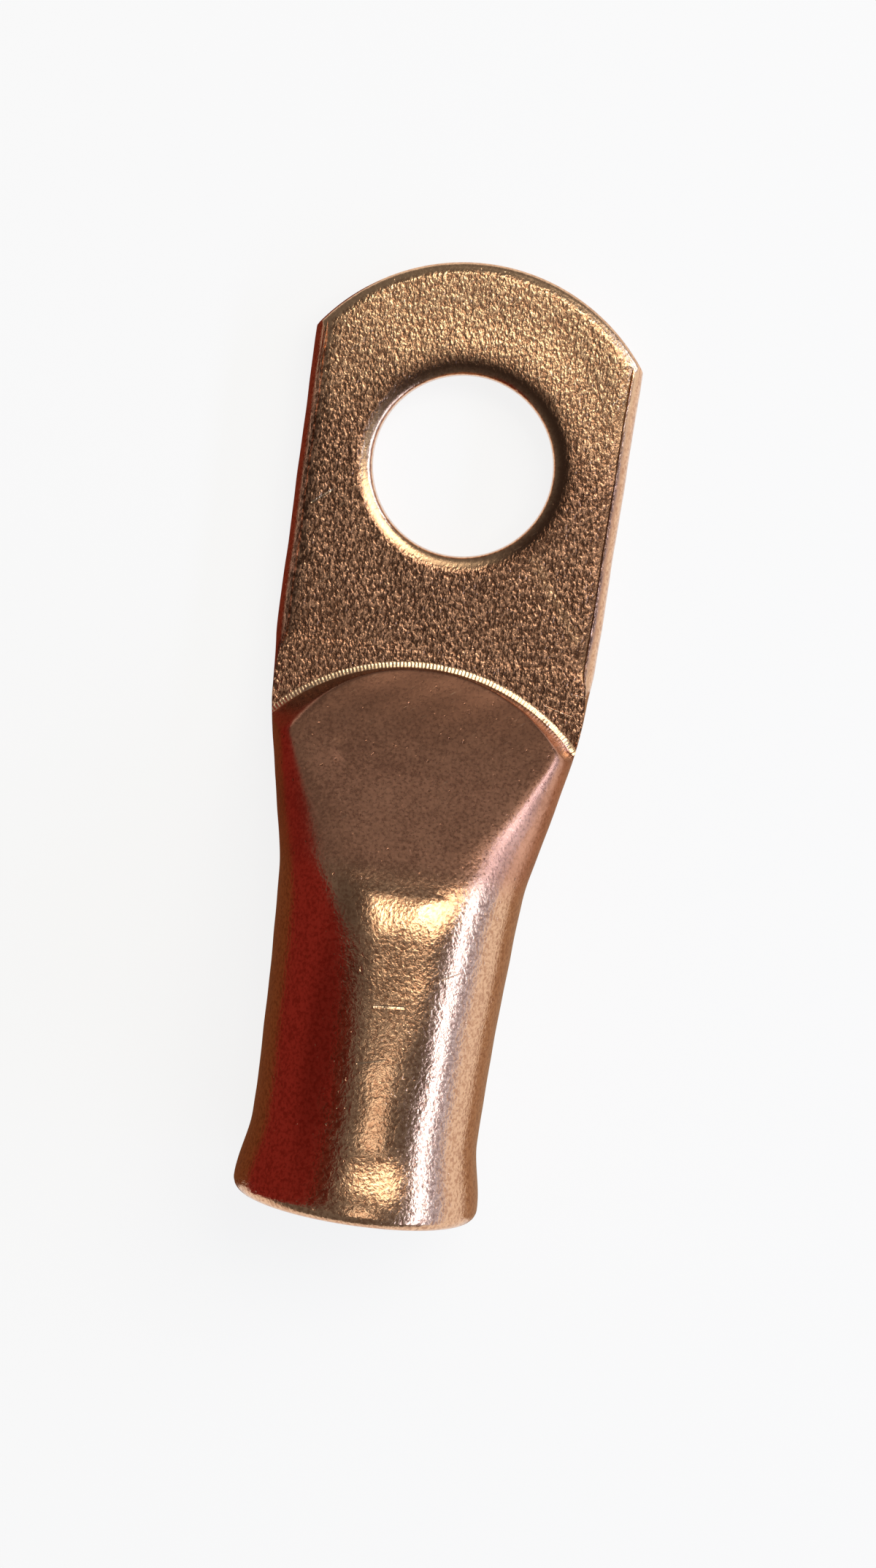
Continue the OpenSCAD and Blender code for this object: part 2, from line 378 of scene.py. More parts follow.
def roughen(rings):
    """Slow waves, dents and nicks on the outer skin. The back stays flat and the bell calmer."""
    p = np.asarray(rings, float)
    x, y, z = p[..., 0], p[..., 1], p[..., 2]
    nx, ny, nz = skin_normals(p)
    move = waves(x, y, z)
    for cx, cy, rx, ry, turn, depth in MARKS:
        c, s = math.cos(math.radians(turn)), math.sin(math.radians(turn))
        u = ((x - cx) * c + (y - cy) * s) / rx
        v = (-(x - cx) * s + (y - cy) * c) / ry
        move = move - depth * np.exp(-(u * u + v * v)) * (nz > MARK_NZ)
    keep = ease((x - MOUTH_X + CALM_X) / -CALM_L + 1) * (1 - CALM_SHARE) + CALM_SHARE
    move = move * keep * np.where(nz < BACK_NZ, 0.0, 1.0)
    return np.stack([x + nx * move, y + ny * move, z + nz * move], axis=-1)


def skin_normals(p):
    """Outward normals of a grid of rings, as three arrays."""
    along = np.gradient(p, axis=0)
    across = np.roll(p, -1, axis=1) - np.roll(p, 1, axis=1)
    n = np.cross(across, along)
    size = np.linalg.norm(n, axis=-1, keepdims=True)
    n = n / np.maximum(size, 1e-12)
    out = np.sign(np.sum(n * (p - p.mean(axis=1, keepdims=True)), axis=-1, keepdims=True))
    n = n * np.where(out == 0, 1, out)
    return n[..., 0], n[..., 1], n[..., 2]


def grid_mesh(name, rings):
    """A closed tube through the rings, with a cap at each end."""
    rings = np.asarray(rings, float)
    rows, n, _ = rings.shape
    faces = []
    for k in range(rows - 1):
        for i in range(n):
            j = (i + 1) % n
            faces.append((k * n + i, k * n + j, (k + 1) * n + j, (k + 1) * n + i))
    faces.append(tuple(range(n - 1, -1, -1)))
    faces.append(tuple((rows - 1) * n + i for i in range(n)))
    mesh = bpy.data.meshes.new(name)
    mesh.from_pydata((rings.reshape(-1, 3) * MM).tolist(), [], faces)
    mesh.update()
    obj = bpy.data.objects.new(name, mesh)
    bpy.context.scene.collection.objects.link(obj)
    set_outward(obj)
    return obj


def set_outward(obj):
    bm = bmesh.new()
    bm.from_mesh(obj.data)
    bmesh.ops.recalc_face_normals(bm, faces=bm.faces)
    bm.to_mesh(obj.data)
    bm.free()


def lug_body():
    """The outer skin from the tip to the rim, then the bore and the hollow back inwards."""
    skin = [skin_row(*row) for row in grid_rows()]
    angles = ring_angles(skin[-1])
    for x in np.linspace(BELL_X, CROWN_X, ROW_COUNTS["bell"])[1:]:
        skin.append(round_ring(x, bell_radius(TUBE_D / 2, x), angles))
    skin = roughen(skin).tolist()
    crown = bell_radius(TUBE_D / 2, CROWN_X)
    for a in np.radians(np.linspace(0, 90, ROW_COUNTS["rim"])[1:]):
        skin.append(round_ring(CROWN_X + RIM_R * math.sin(a),
                               crown - RIM_R * (1 - math.cos(a)), angles))
    return grid_mesh("lug_body", skin + inner_rings(angles))


def lathe(name, profile, start=0.0, turn=360.0, steps=180):
    """A solid turned about the stud hole's axis. A full turn is filled in to the axis; a part turn
    takes a closed (r, z) profile."""
    full = turn >= 360
    count = steps if full else steps + 1
    angles = [math.radians(start + turn * k / steps) for k in range(count)]
    n = len(profile)
    verts = [(r * math.cos(a), r * math.sin(a), z) for a in angles for r, z in profile]
    faces = []
    for k in range(steps):
        m = (k + 1) % count
        for i in range(n - 1 if full else n):
            j = (i + 1) % n
            faces.append((k * n + i, k * n + j, m * n + j, m * n + i))
    if full:
        faces += [tuple(k * n for k in range(steps)), tuple(k * n + n - 1 for k in range(steps))]
    else:
        faces += [tuple(range(n - 1, -1, -1)), tuple((count - 1) * n + i for i in range(n))]
    mesh = bpy.data.meshes.new(name)
    mesh.from_pydata([tuple(c * MM for c in v) for v in verts], [], faces)
    obj = bpy.data.objects.new(name, mesh)
    bpy.context.scene.collection.objects.link(obj)
    set_outward(obj)
    return obj


def roll_profile(r, roll, side):
    """The wall of a cut edge from below the palm to above it: seam line, then the rolled edge."""
    seam = PALM_T / 2
    points = [(r, CUT_LOW), (r, CUT_FOOT), (r, seam - SEAM_DEPTH), (r + side * SEAM_DEPTH, seam),
              (r, seam + SEAM_DEPTH), (r, (seam + PALM_T - roll[1]) / 2)]
    for i in range(ROLL_STEPS + 1):
        a = math.radians(90 * i / ROLL_STEPS)
        points.append((r + side * roll[0] * (1 - math.cos(a)),
                       PALM_T - roll[1] * (1 - math.sin(a)) + ROLL_RISE * math.sin(a)))
    out = r + side * (roll[0] + CUT_FLARE[0])
    return points + [(out, PALM_T + CUT_FLARE[1]), (out, PALM_T + CUT_HIGH)]


def hole_cutter():
    return lathe("hole_cutter", roll_profile(HOLE_R, HOLE_ROLL, 1))


def tip_cutter():
    out = TIP_R + CUT_OUT
    profile = roll_profile(TIP_R, TIP_ROLL, -1) + [(out, PALM_T + CUT_HIGH), (out, CUT_LOW)]
    return lathe("tip_cutter", profile, start=90, turn=180, steps=240)


def cut(obj, *cutters):
    for cutter in cutters:
        mod = obj.modifiers.new("cut", "BOOLEAN")
        mod.operation, mod.solver, mod.object = "DIFFERENCE", "EXACT", cutter
        with bpy.context.temp_override(object=obj, active_object=obj):
            bpy.ops.object.modifier_apply(modifier=mod.name)
        bpy.data.objects.remove(cutter)


def smooth(obj, degrees):
    for face in obj.data.polygons:
        face.use_smooth = True
    with bpy.context.temp_override(object=obj, active_object=obj, selected_editable_objects=[obj]):
        bpy.ops.object.shade_smooth_by_angle(angle=math.radians(degrees))


class Nodes:
    """Short calls that add shader nodes and link them."""

    def __init__(self, tree):
        self.tree = tree
        tree.nodes.clear()

    def add(self, kind, settings=None, **inputs):
        node = self.tree.nodes.new(kind)
        for key, value in (settings or {}).items():
            setattr(node, key, value)
        for key, value in inputs.items():
            socket = node.inputs[int(key[1:])] if key[1:].isdigit() else node.inputs[key]
            if isinstance(value, bpy.types.NodeSocket):
                self.tree.links.new(value, socket)
            else:
                socket.default_value = value
        return node

    def math(self, operation, a, b=0.0, clamp=False):
        return self.add("ShaderNodeMath", {"operation": operation, "use_clamp": clamp},
                        _0=a, _1=b).outputs[0]

    def fold(self, operation, values):
        total = values[0]
        for value in values[1:]:
            total = self.math(operation, total, value)
        return total

    def times(self, *values):
        return self.fold("MULTIPLY", values)

    def plus(self, *values):
        return self.fold("ADD", values)

    def most(self, *values):
        return self.fold("MAXIMUM", values)

    def vector(self, operation, a, b=(0, 0, 0)):
        return self.add("ShaderNodeVectorMath", {"operation": operation}, _0=a, _1=b)

    def scaled(self, a, k):
        return self.add("ShaderNodeVectorMath", {"operation": "SCALE"}, _0=a, Scale=k).outputs[0]

    def ramp(self, value, low, high, to_low=0.0, to_high=1.0):
        """A smooth change from to_low, where value is low, to to_high, where it is high."""
        ends = {"From Min": low, "From Max": high, "To Min": to_low, "To Max": to_high}
        return self.add("ShaderNodeMapRange", {"interpolation_type": "SMOOTHSTEP"}, Value=value,
                        **ends).outputs[0]

    def noise(self, at, scale, detail=2.0, rough=0.5, warp=0.0):
        node = self.add("ShaderNodeTexNoise", None, Vector=at, Scale=scale, Detail=detail,
                        Roughness=rough, Distortion=warp)
        return node.outputs["Fac"]

    def blend(self, share, a, b):
        node = self.add("ShaderNodeMix", {"data_type": "RGBA"}, Factor=share)
        for socket, value in ((node.inputs[6], a), (node.inputs[7], b)):
            if isinstance(value, bpy.types.NodeSocket):
                self.tree.links.new(value, socket)
            else:
                socket.default_value = (*value, 1)
        return node.outputs[2]

    def line(self, at, a, b, width):
        """1 on the straight scratch from a to b, both (x, y) in millimetres, and 0 away from it."""
        ab = (b[0] - a[0], b[1] - a[1], 0)
        size = ab[0] ** 2 + ab[1] ** 2
        rel = self.vector("SUBTRACT", at, (a[0], a[1], 0)).outputs[0]
        along = self.vector("DOT_PRODUCT", rel, tuple(c / size for c in ab)).outputs["Value"]
        share = self.math("MULTIPLY", along, 1.0, clamp=True)
        foot = self.scaled(ab, share)
        away = self.vector("DISTANCE", rel, foot).outputs["Value"]
        return self.ramp(away, 0.0, width, 1.0, 0.0)

    def finish(self, shader):
        out = self.add("ShaderNodeOutputMaterial")
        self.tree.links.new(shader.outputs[0], out.inputs["Surface"])


# Copper by zone, linear: bright and tarnished grain; rubbed grain, whose colours also paint light:
# a painted highlight on the rolls' lit side and, partly, the lighter tint towards the tip; the
# ramp, with painted shade at its foot; the barrel; the painted highlight on the step's bevel; fresh
# scratches; and the dark places: pits, patches (the last two of them painted dark reflection
# streaks) and the painted shade deep in the bore
GRAIN_BRIGHT, GRAIN_DULL = (0.61, 0.335, 0.21), (0.13, 0.062, 0.037)
# Rubbed grain; these colours also paint the highlight on the rolls' lit side and part of the
# lighter tint towards the tip
RUBBED_AND_LIT_BRIGHT, RUBBED_AND_LIT_DULL = (0.95, 0.62, 0.37), (0.44, 0.23, 0.13)
RAMP_COPPER, RAMP_DULL = (0.76, 0.38, 0.235), (0.50, 0.235, 0.145)
# Painted shade: the ramp's colour darkened further towards its foot
RAMP_FOOT_SHADE = tuple(0.8 * c for c in RAMP_DULL)
BARREL_COPPER, BARREL_DULL = (0.84, 0.51, 0.31), (0.56, 0.29, 0.165)
# A painted highlight along the step's bevel
BEVEL_HIGHLIGHT = (0.96, 0.66, 0.42)
SCRATCH_COPPER = (0.95, 0.68, 0.46)
DARK_COPPER = (0.22, 0.10, 0.055)

# Scratches, in millimetres: from (x, y), to (x, y), width
SCRATCHES = (
    ((3.3, -8.3), (2.4, -7.2), 0.10),
    ((13.0, 6.8), (13.4, 8.4), 0.06),
    ((12.1, 8.2), (12.2, 9.0), 0.06),
    ((30.3, -0.4), (30.15, 1.2), 0.12),
    ((33.6, -0.9), (33.2, 0.6), 0.07),
    ((28.4, 3.1), (28.0, 4.0), 0.04),
)

# A broad rubbed smear on the palm, and the change from the tip to the step: partly tarnish, partly
# a painted light gradient that makes the palm lighter towards the tip
SMEAR_FROM, SMEAR_TO, SMEAR_W, SMEAR_SHARE = (4.8, 4.9), (9.0, 7.9), 0.55, 0.35
TARNISH_AND_LIGHT_TURN, TARNISH_AND_LIGHT_X, TARNISH_AND_LIGHT_DRIFT = -0.15, (-9.0, 0.5), 6.0

# Soft darker patches, in millimetres: centre (x, y), half sizes, strength. The last two, on the
# barrel's upper left at y near -3, are painted dark reflection streaks
DARK_PATCHES = (
    (28.4, 0.4, 2.4, 3.4, 0.4),
    (36.6, 1.6, 1.8, 1.6, 0.45),
    (33.0, 2.6, 3.5, 0.8, 0.45),
    (11.0, -7.0, 3.5, 3.0, 0.35),
    (33.0, -3.1, 8.5, 1.1, 0.6),
    (25.0, -2.6, 2.2, 1.3, 0.6),
)
PATCH_EDGE, PATCH_DEPTH = (0.3, 1.3), 0.75

# Pitch of the fine ticks along the bevel at the step's foot
TICK_PITCH = 0.21

# The noises: scale, detail, roughness, distortion. The palm's grain is a little longer along the
# lug, and the hairlines are a noise that is turned by an angle in degrees and then drawn out
NOISES = {
    "grain": (5.2, 1.5, 0.5, 0.5),
    "grit": (9.0, 1.0, 0.5, 0.3),
    "fine": (11.0, 3.0, 0.6, 0.0),
    "blotch": (0.42, 3.0, 0.6, 0.4),
    "speck": (5.2, 3.0, 0.65, 0.0),
    "dimple": (4.4, 2.0, 0.55, 0.4),
    "pits": (3.1, 1.0, 0.4, 0.0),
    "hairs": (1.0, 2.0, 0.5, 0.0),
}
GRAIN_DRAW, HAIR_DRAW, HAIR_TURN = (0.62, 1.0, 1.0), (0.8, 9.0, 2.0), 52

# Where a noise starts and stops to count: pits, hairlines, and the tones of the three zones
PIT_RANGE, HAIR_RANGE = (0.73, 0.79), (0.68, 0.76)
GRAIN_TONE, RAMP_TONE, BARREL_TONE = (0.43, 0.62), (0.36, 0.62), (0.38, 0.58)

# Where each zone changes into the next, as (from, to) in millimetres: heights z
TOP_Z = (PALM_T - 0.45, PALM_T - 0.1)
ROLL_Z = (PALM_T - 0.16, PALM_T - 0.035)
SCRATCH_Z = (2.5, 2.8)
# Distances from the arc's centre
STEP_BAND = (STEP_R - 0.05, STEP_R + 0.05)
BEVEL_INNER = (STEP_R - 0.06, STEP_R)
BEVEL_OUTER = (STEP_R + BEVEL_W - 0.04, STEP_R + BEVEL_W + 0.08)
# Distances from the hole's centre
HOLE_BAND, HOLE_SHADE_BAND = (HOLE_R + 1.5, HOLE_R + 1.9), (HOLE_R + 0.5, HOLE_R + 2.0)
TIP_BAND = (TIP_R - 1.4, TIP_R - 1.0)
HOLE_RELIEF_BAND, TIP_RELIEF_BAND = (HOLE_R + 0.5, HOLE_R + 4.0), (TIP_R - 3.5, TIP_R - 0.5)
# Distances from the barrel's axis
BORE_SKIN = (BORE_R + 0.15, BORE_R + 0.45)
# Places x and y
STEP_SIDE_X = (STEP_CX - STEP_SIDE, STEP_CX - STEP_SIDE + 0.1)
# The first of these ranges is where the ramp's painted shade at its foot fades out
FOOT_SHADE_X, KNEE_ZONE_X = (STEP_X + 1.5, STEP_X + 5.5), (KNEE_X - 2.2, KNEE_X + 0.2)
ROUND_X, BARREL_X = (STEP_X + 3, KNEE_X + 1), (KNEE_X + 3, KNEE_X + 4)
# Where the painted shade inside the bore fades towards the mouth
BORE_SHADE_X = (MOUTH_X - 9, MOUTH_X - 1)
TIP_X, TIP_RELIEF_X = (-6.0, -5.0), (-4.5, -1.5)
RIGHT_EDGE_Y = (8.3, 8.8)
# x - y, which grows from the hole's side that gets painted shade to the side whose rolls get a
# painted highlight
PAINTED_HIGHLIGHT_SIDE = (-1.0, 5.0)

# Heights of the relief, in millimetres
GRAIN_RELIEF, GRIT_RELIEF, GRAIN_MEAN = 0.070, 0.028, 0.049
TICK_RELIEF, DIMPLE_RELIEF, SPECK_RELIEF, FINE_RELIEF = 0.006, 0.024, 0.006, 0.0015
PIT_DEPTH, SCRATCH_DEPTH, HAIR_DEPTH = 0.012, 0.03, 0.001
LEAST_ROLL = 0.2

# Roughness: the shiny and dull ends, what the ramp and the palm add, what a scratch takes off
GLOSS, RAMP_ROUGH, PALM_ROUGH, SCRATCH_GLOSS = (0.14, 0.23), 0.12, 0.08, 0.10


def find_zones(n, at):
    """Masks from 0 to 1 for the parts of the surface, and the coordinates they come from."""
    zone = SimpleNamespace()
    x, y, z = n.add("ShaderNodeSeparateXYZ", None, Vector=at).outputs
    zone.x, zone.y, zone.z = x, y, z
    zone.flat = n.add("ShaderNodeCombineXYZ", None, X=x, Y=y).outputs[0]
    zone.from_hole = n.vector("LENGTH", zone.flat).outputs["Value"]
    from_arc = n.vector("DISTANCE", zone.flat, (STEP_CX, 0, 0)).outputs["Value"]

    outside = n.ramp(from_arc, *STEP_BAND)
    before = n.ramp(x, *STEP_SIDE_X, 1, 0)
    top = n.ramp(z, *TOP_Z)
    zone.palm = n.times(outside, before, top)
    zone.bevel = n.times(n.ramp(from_arc, *BEVEL_INNER), n.ramp(from_arc, *BEVEL_OUTER, 1, 0),
                         before, top)
    inner = n.math("SUBTRACT", 1.0, n.most(outside, n.ramp(x, *KNEE_ZONE_X)), clamp=True)
    zone.ramp = n.times(inner, top)
    turn = n.math("ARCTAN2", y, n.math("SUBTRACT", STEP_CX, x))
    zone.ticks = n.math("SINE", n.times(turn, 2 * math.pi * STEP_R / TICK_PITCH))

    zone.grain_share = n.ramp(z, *ROLL_Z, LEAST_ROLL, 1.0)
    near_edge = n.most(n.ramp(zone.from_hole, *HOLE_BAND, 1, 0),
                       n.times(n.ramp(zone.from_hole, *TIP_BAND), n.ramp(x, *TIP_X, 1, 0)),
                       n.ramp(y, *RIGHT_EDGE_Y))
    zone.roll = n.times(n.ramp(zone.grain_share, LEAST_ROLL, 1.0, 1.0, 0.0), near_edge)
    # Painted light: 0 where the hole gets painted shade, 1 where the rolls get a painted highlight
    zone.rubbed_side = n.ramp(n.math("SUBTRACT", x, y), *PAINTED_HIGHLIGHT_SIDE)
    zone.hollow = bore_shade_mask(n, zone)
    return zone


def bore_shade_mask(n, zone):
    """Painted shade inside the bore: 1 deep inside, less towards the mouth, and 0 on the outer
    skin.
    """
    wheel = n.add("ShaderNodeCombineXYZ", None, Y=zone.y, Z=zone.z).outputs[0]
    radius = n.vector("DISTANCE", wheel, (0, 0, AXIS_Z)).outputs["Value"]
    return n.times(n.ramp(zone.x, *BORE_SHADE_X, 1, 0.25), n.ramp(radius, *BORE_SKIN, 1, 0),
                   n.ramp(zone.x, *BARREL_X))


def find_textures(n, at):
    """The noises of the surface, and the pits and hairlines that are made from two of them."""
    tex = SimpleNamespace()
    long_at = n.vector("MULTIPLY", at, GRAIN_DRAW).outputs[0]
    tex.grain = n.noise(long_at, *NOISES["grain"])
    tex.grit = n.noise(long_at, *NOISES["grit"])
    tex.fine = n.noise(at, *NOISES["fine"])
    tex.blotch = n.noise(at, *NOISES["blotch"])
    tex.speck = n.noise(at, *NOISES["speck"])
    tex.dimple = n.noise(at, *NOISES["dimple"])
    tex.pits = n.ramp(n.noise(at, *NOISES["pits"]), *PIT_RANGE)
    turned = n.add("ShaderNodeVectorRotate", {"rotation_type": "Z_AXIS"}, Vector=at,
                   Angle=math.radians(HAIR_TURN)).outputs[0]
    drawn = n.vector("MULTIPLY", turned, HAIR_DRAW).outputs[0]
    tex.hairs = n.ramp(n.noise(drawn, *NOISES["hairs"]), *HAIR_RANGE)
    return tex


def scratch_mask(n, zone):
    """1 in the single scratches, which are only on the lug's upper side."""
    lines = [n.line(zone.flat, start, end, width) for start, end, width in SCRATCHES]
    return n.times(n.most(*lines), n.ramp(zone.z, *SCRATCH_Z))


def dark_patch_mask(n, zone):
    """How much the darker patches darken each place; the last two are painted dark reflection
    streaks on the barrel.
    """
    patches = []
    for cx, cy, rx, ry, strength in DARK_PATCHES:
        off = n.vector("SUBTRACT", zone.flat, (cx, cy, 0)).outputs[0]
        off = n.vector("MULTIPLY", off, (1 / rx, 1 / ry, 0)).outputs[0]
        size = n.vector("LENGTH", off).outputs["Value"]
        patches.append(n.ramp(size, *PATCH_EDGE, strength, 0.0))
    return n.most(*patches)


def palm_colour(n, zone, tex):
    """Grainy copper with a rubbed smear, lighter towards the tip (partly tarnish, partly painted
    light), with a painted highlight on one side of the rolls and painted shade round the hole.
    """
    slant = n.plus(zone.x, n.times(zone.y, TARNISH_AND_LIGHT_TURN),
                   n.times(n.math("SUBTRACT", tex.blotch, 0.5), TARNISH_AND_LIGHT_DRIFT))
    smear = n.times(n.line(zone.flat, SMEAR_FROM, SMEAR_TO, SMEAR_W), SMEAR_SHARE)
    # Wear and painted light together: the smear is wear, the tint towards the tip is partly painted
    # light, the rolls' lit side is a painted highlight
    wear_and_light = n.most(n.ramp(slant, *TARNISH_AND_LIGHT_X, 1, 0), smear, n.times(zone.roll, zone.rubbed_side))
    tone = n.ramp(n.plus(n.times(tex.grain, 0.65), n.times(tex.grit, 0.35)), *GRAIN_TONE)
    tone = n.most(tone, n.times(zone.roll, 0.8))
    colour = n.blend(wear_and_light, n.blend(tone, GRAIN_DULL, GRAIN_BRIGHT),
                     n.blend(tone, RUBBED_AND_LIT_DULL, RUBBED_AND_LIT_BRIGHT))
    # Painted shade round the hole, on the side away from the painted highlight
    shade = n.times(n.ramp(zone.from_hole, *HOLE_SHADE_BAND, 0.95, 0.0),
                    n.math("SUBTRACT", 1.0, zone.rubbed_side))
    return n.blend(shade, colour, GRAIN_DULL)


def ramp_colour(n, zone, tex):
    """Matt brown copper with dark pits, and painted shade that darkens it towards the ramp's foot.
    """
    tone = n.plus(n.times(tex.speck, 0.6), n.times(tex.blotch, 0.4))
    colour = n.blend(n.ramp(tone, *RAMP_TONE), RAMP_DULL, RAMP_COPPER)
    colour = n.blend(n.times(tex.pits, 0.7), colour, DARK_COPPER)
    return n.blend(n.ramp(zone.x, *FOOT_SHADE_X, 0.95, 0.0), colour, RAMP_FOOT_SHADE)


def barrel_colour(n, tex):
    tone = n.plus(n.times(tex.dimple, 0.6), n.times(tex.speck, 0.4))
    return n.blend(n.ramp(tone, *BARREL_TONE), BARREL_DULL, BARREL_COPPER)


def copper_colour(n, zone, tex, scratches):
    """The colours of the zones and the painted highlight on the step's bevel, then the patches, the
    bare scratches and the painted shade deep in the bore.
    """
    colour = n.blend(zone.palm, barrel_colour(n, tex), palm_colour(n, zone, tex))
    # Painted highlight along the step's bevel
    colour = n.blend(n.times(zone.bevel, 0.8), colour, BEVEL_HIGHLIGHT)
    colour = n.blend(zone.ramp, colour, ramp_colour(n, zone, tex))
    # Darker patches; the last two are painted dark reflection streaks on the barrel
    colour = n.blend(dark_patch_mask(n, zone), colour, n.blend(PATCH_DEPTH, colour, DARK_COPPER))
    bare = n.times(n.most(n.times(tex.hairs, 0.3), scratches), 0.7)
    colour = n.blend(bare, colour, SCRATCH_COPPER)
    # Painted shade deep inside the bore
    return n.blend(zone.hollow, colour, DARK_COPPER)


def copper_roughness(n, zone, tex, scratches):
    rough = n.plus(n.ramp(tex.speck, 0.3, 0.7, *GLOSS), n.times(zone.ramp, RAMP_ROUGH),
                   n.times(zone.palm, PALM_ROUGH))
    return n.math("SUBTRACT", rough, n.times(scratches, SCRATCH_GLOSS), clamp=True)


def copper_relief(n, zone, tex, scratches):
    """Height of the fine relief in millimetres. The grain fades out on the rolled edges."""
    grain = n.plus(n.times(tex.grain, GRAIN_RELIEF), n.times(tex.grit, GRIT_RELIEF))
    near_rolls = n.most(n.ramp(zone.from_hole, *HOLE_RELIEF_BAND, 1, 0),
                        n.times(n.ramp(zone.from_hole, *TIP_RELIEF_BAND),
                                n.ramp(zone.x, *TIP_RELIEF_X, 1, 0)))
    grain = n.math("SUBTRACT", grain, n.ramp(near_rolls, 0, 1, GRAIN_MEAN, 0))
    grain = n.times(grain, zone.grain_share, n.ramp(zone.bevel, 0, 1, 1, 0.25), zone.palm)
    return n.plus(grain,
                  n.times(zone.ticks, zone.bevel, TICK_RELIEF),
                  n.times(tex.dimple, DIMPLE_RELIEF, n.ramp(zone.x, *ROUND_X, 0.1, 1.0)),
                  n.times(tex.speck, SPECK_RELIEF),
                  n.times(tex.fine, FINE_RELIEF),
                  n.times(tex.pits, -PIT_DEPTH),
                  n.times(scratches, -SCRATCH_DEPTH),
                  n.times(tex.hairs, -HAIR_DEPTH))


def copper_material():
    mat = bpy.data.materials.new("copper")
    mat.use_nodes = True
    n = Nodes(mat.node_tree)
    at = n.scaled(n.add("ShaderNodeTexCoord").outputs["Object"], 1 / MM)
    zone, tex = find_zones(n, at), find_textures(n, at)
    scratches = scratch_mask(n, zone)
    relief = copper_relief(n, zone, tex, scratches)
    bump = n.add("ShaderNodeBump", None, Strength=1.0, Distance=MM, Height=relief)
    shader = n.add("ShaderNodeBsdfPrincipled", None, Metallic=1.0, Normal=bump.outputs[0],
                   Roughness=copper_roughness(n, zone, tex, scratches))
    n.tree.links.new(copper_colour(n, zone, tex, scratches), shader.inputs["Base Color"])
    n.finish(shader)
    return mat


# The floor is a plain pale grey that cameras and mirrors see lifted towards white. It reaches
# FLOOR_HALF each way and lies a hair below the part, in metres
FLOOR_TONE, FLOOR_LIFT = 0.9, 0.85
FLOOR_HALF, FLOOR_GAP = 3.0, 0.02 * MM


def floor_material():
    mat = bpy.data.materials.new("floor")
    mat.use_nodes = True
    n = Nodes(mat.node_tree)
    plain = n.add("ShaderNodeBsdfDiffuse", None, Color=(FLOOR_TONE, FLOOR_TONE, FLOOR_TONE, 1))
    white = n.add("ShaderNodeEmission", None, Color=(1, 1, 1, 1), Strength=1.0)
    rays = n.add("ShaderNodeLightPath").outputs
    seen = n.most(rays["Is Camera Ray"], n.most(rays["Is Glossy Ray"], rays["Is Transmission Ray"]))
    n.finish(n.add("ShaderNodeMixShader", None, _0=n.times(seen, FLOOR_LIFT),
                   _1=plain.outputs[0], _2=white.outputs[0]))
    return mat


def plate(name, corners, material):
    """A single flat face that belongs to the stage."""
    mesh = bpy.data.meshes.new(name)
    mesh.from_pydata([tuple(c) for c in corners], [], [tuple(range(len(corners)))])
    obj = bpy.data.objects.new(name, mesh)
    bpy.context.scene.collection.objects.link(obj)
    mesh.materials.append(material)
    return obj


def add_floor():
    s, z = FLOOR_HALF, -FLOOR_GAP
    plate("floor", [(-s, -s, z), (s, -s, z), (s, s, z), (-s, s, z)], floor_material())


def aim(obj, place, target):
    obj.location = place
    obj.rotation_mode = "QUATERNION"
    obj.rotation_quaternion = (Vector(target) - Vector(place)).to_track_quat("-Z", "Y")


def softbox(name, place, target, size, level, colour):
    """An area lamp of size (wide, high) whose face has brightness level."""
    lamp = bpy.data.lights.new(name, "AREA")
    lamp.shape, lamp.size, lamp.size_y = "RECTANGLE", size[0], size[1]
    lamp.color = colour
    lamp.energy = level * math.pi * size[0] * size[1]
    obj = bpy.data.objects.new(name, lamp)
    bpy.context.scene.collection.objects.link(obj)
    aim(obj, place, target)


def glow_material(name, colour):
    mat = bpy.data.materials.new(name)
    mat.use_nodes = True
    n = Nodes(mat.node_tree)
    n.finish(n.add("ShaderNodeEmission", None, Color=(*colour, 1), Strength=1.0))
    return mat


# Cards close beside the lug that only the metal's gloss sees: colour, and corners in millimetres
FLAGS = {
    "palm_left_flag": ((0.17, 0.036, 0.022),
                       ((-14, -8.0, 0.02), (14, -8.0, 0.02), (14, -24, 0.02), (-14, -24, 0.02))),
    "left_low_flag": ((0.16, 0.06, 0.025),
                      ((14, -6.8, 0.02), (46, -6.8, 0.02), (46, -32, 0.02), (14, -32, 0.02))),
    "left_side_flag": ((0.20, 0.024, 0.022),
                       ((12, -11.0, 3.0), (20, -11.0, 4.5), (26, -11.0, 7.6), (45, -11.0, 7.6),
                        (45, -11.0, 23.5), (26.5, -11.0, 23.5), (20, -11.0, 12.5),
                        (12, -11.0, 4.8))),
    "left_high_flag": ((0.10, 0.02, 0.013),
                       ((26.5, -11.0, 23.5), (45, -11.0, 23.5), (45, -15, 48), (26.5, -15, 48))),
    "right_low_flag": ((0.42, 0.28, 0.18),
                       ((12, 6.8, 0.02), (46, 6.8, 0.02), (46, 22, 0.02), (12, 22, 0.02))),
}

# Softboxes, in metres from the floor below the lug's middle: place, target, size, level, colour
SOFTBOXES = {
    "key": ((-0.22, 0.24, 0.42), (0, 0, 0), (0.30, 0.30), 3.3, (1.0, 0.94, 0.81)),
    "lamp": ((-0.265, 0.07, 0.59), (-0.265, 0.07, 0), (0.26, 0.13), 4.6, (1.0, 0.94, 0.78)),
    "front": ((-0.38, 0.11, 0.60), (-0.38, 0.11, 0), (0.60, 0.42), 0.6, (1.0, 0.94, 0.82)),
    "rear": ((0.16, 0.10, 0.60), (0.16, 0.10, 0), (0.14, 0.22), 1.7, (1.0, 0.95, 0.84)),
    "window": ((0, 0.32, 0.11), (0, 0, 0.01), (0.60, 0.22), 0.75, (0.42, 0.56, 1.0)),
    "window_strip": ((0, 0.28, 0.145), (0, 0, 0.01), (0.60, 0.034), 10, (0.53, 0.67, 1.0)),
}
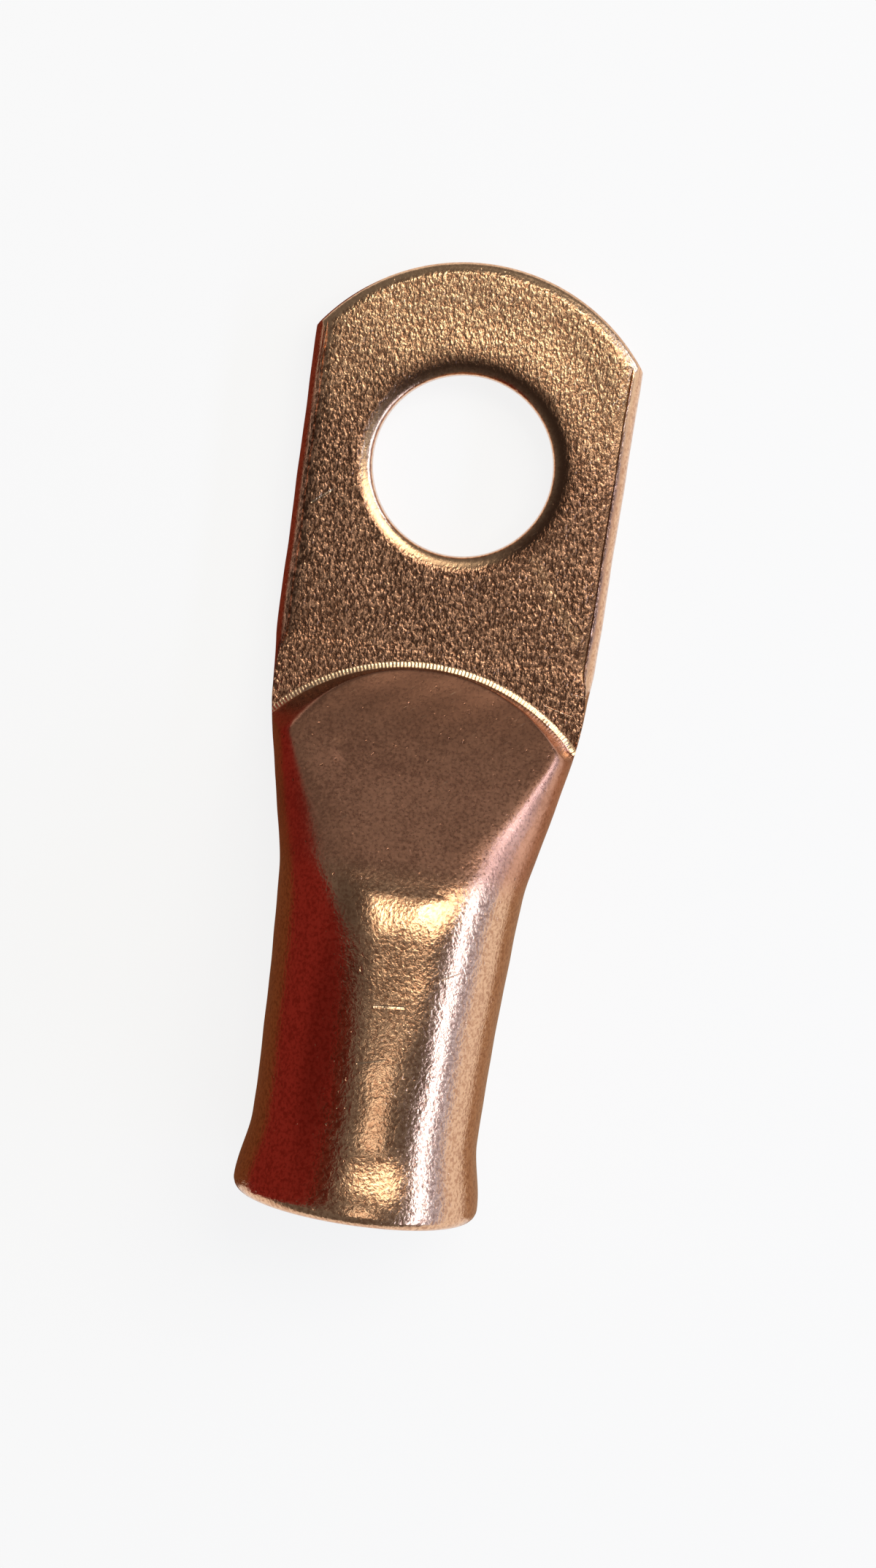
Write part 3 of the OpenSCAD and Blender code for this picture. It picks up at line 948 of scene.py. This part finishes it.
WORLD_COLOUR, WORLD_LEVEL = (1.0, 0.97, 0.94), 0.16


def add_flags():
    for name, (colour, corners) in FLAGS.items():
        card = plate(name, [tuple(c * MM for c in corner) for corner in corners],
                     glow_material(name, colour))
        card.visible_camera = card.visible_diffuse = card.visible_shadow = False


def add_softboxes(middle_x):
    for name, (place, target, size, level, colour) in SOFTBOXES.items():
        softbox(name, (middle_x + place[0], *place[1:]), (middle_x + target[0], *target[1:]),
                size, level, colour)


def add_world():
    world = bpy.data.worlds.new("world")
    bpy.context.scene.world = world
    world.use_nodes = True
    back = world.node_tree.nodes["Background"]
    back.inputs["Color"].default_value = (*WORLD_COLOUR, 1)
    back.inputs["Strength"].default_value = WORLD_LEVEL


# The camera stands over the stud hole, leaning towards the barrel, and is rolled a little. Places
# and lens are in millimetres, angles in degrees, and the clipping distances in metres
CAMERA_UP, CAMERA_SIDE = 221.98, 1.27
CAMERA_LEAN, CAMERA_ROLL = 4.80, 8.4
CAMERA_LENS, CAMERA_SENSOR, CAMERA_CLIP = 86.94, 36, (0.01, 20)


def add_camera():
    lean, roll = math.radians(CAMERA_LEAN), math.radians(CAMERA_ROLL)
    forward = Vector((math.sin(lean), 0, -math.cos(lean)))
    level_up = Vector((-math.cos(lean), 0, -math.sin(lean)))
    level_right = Vector((0, 1, 0))
    up = level_up * math.cos(roll) - level_right * math.sin(roll)
    right = level_right * math.cos(roll) + level_up * math.sin(roll)
    data = bpy.data.cameras.new("camera")
    data.lens, data.sensor_width = CAMERA_LENS, CAMERA_SENSOR
    data.clip_start, data.clip_end = CAMERA_CLIP
    obj = bpy.data.objects.new("camera", data)
    turn = Matrix((right, up, -forward)).transposed().to_4x4()
    obj.matrix_world = Matrix.Translation((0, CAMERA_SIDE * MM, CAMERA_UP * MM)) @ turn
    bpy.context.scene.collection.objects.link(obj)
    bpy.context.scene.camera = obj


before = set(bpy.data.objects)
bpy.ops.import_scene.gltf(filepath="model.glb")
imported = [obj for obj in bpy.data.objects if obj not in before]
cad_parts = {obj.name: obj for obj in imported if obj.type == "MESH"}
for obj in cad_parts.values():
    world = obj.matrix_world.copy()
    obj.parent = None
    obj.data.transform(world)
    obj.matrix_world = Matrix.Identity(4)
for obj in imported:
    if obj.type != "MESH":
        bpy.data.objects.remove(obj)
cad_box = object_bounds()

lug = lug_body()
cut(lug, hole_cutter(), tip_cutter())
lug.name = "lug_body"
smooth(lug, SMOOTH_ANGLE)
lug.data.materials.clear()
lug.data.materials.append(copper_material())
for face in lug.data.polygons:
    face.material_index = 0
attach(lug, "root")
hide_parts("lug")

add_floor()
add_flags()
add_softboxes((cad_box[0][0] + cad_box[1][0]) / 2)
add_world()
add_camera()
bpy.context.scene.view_settings.view_transform = "Standard"
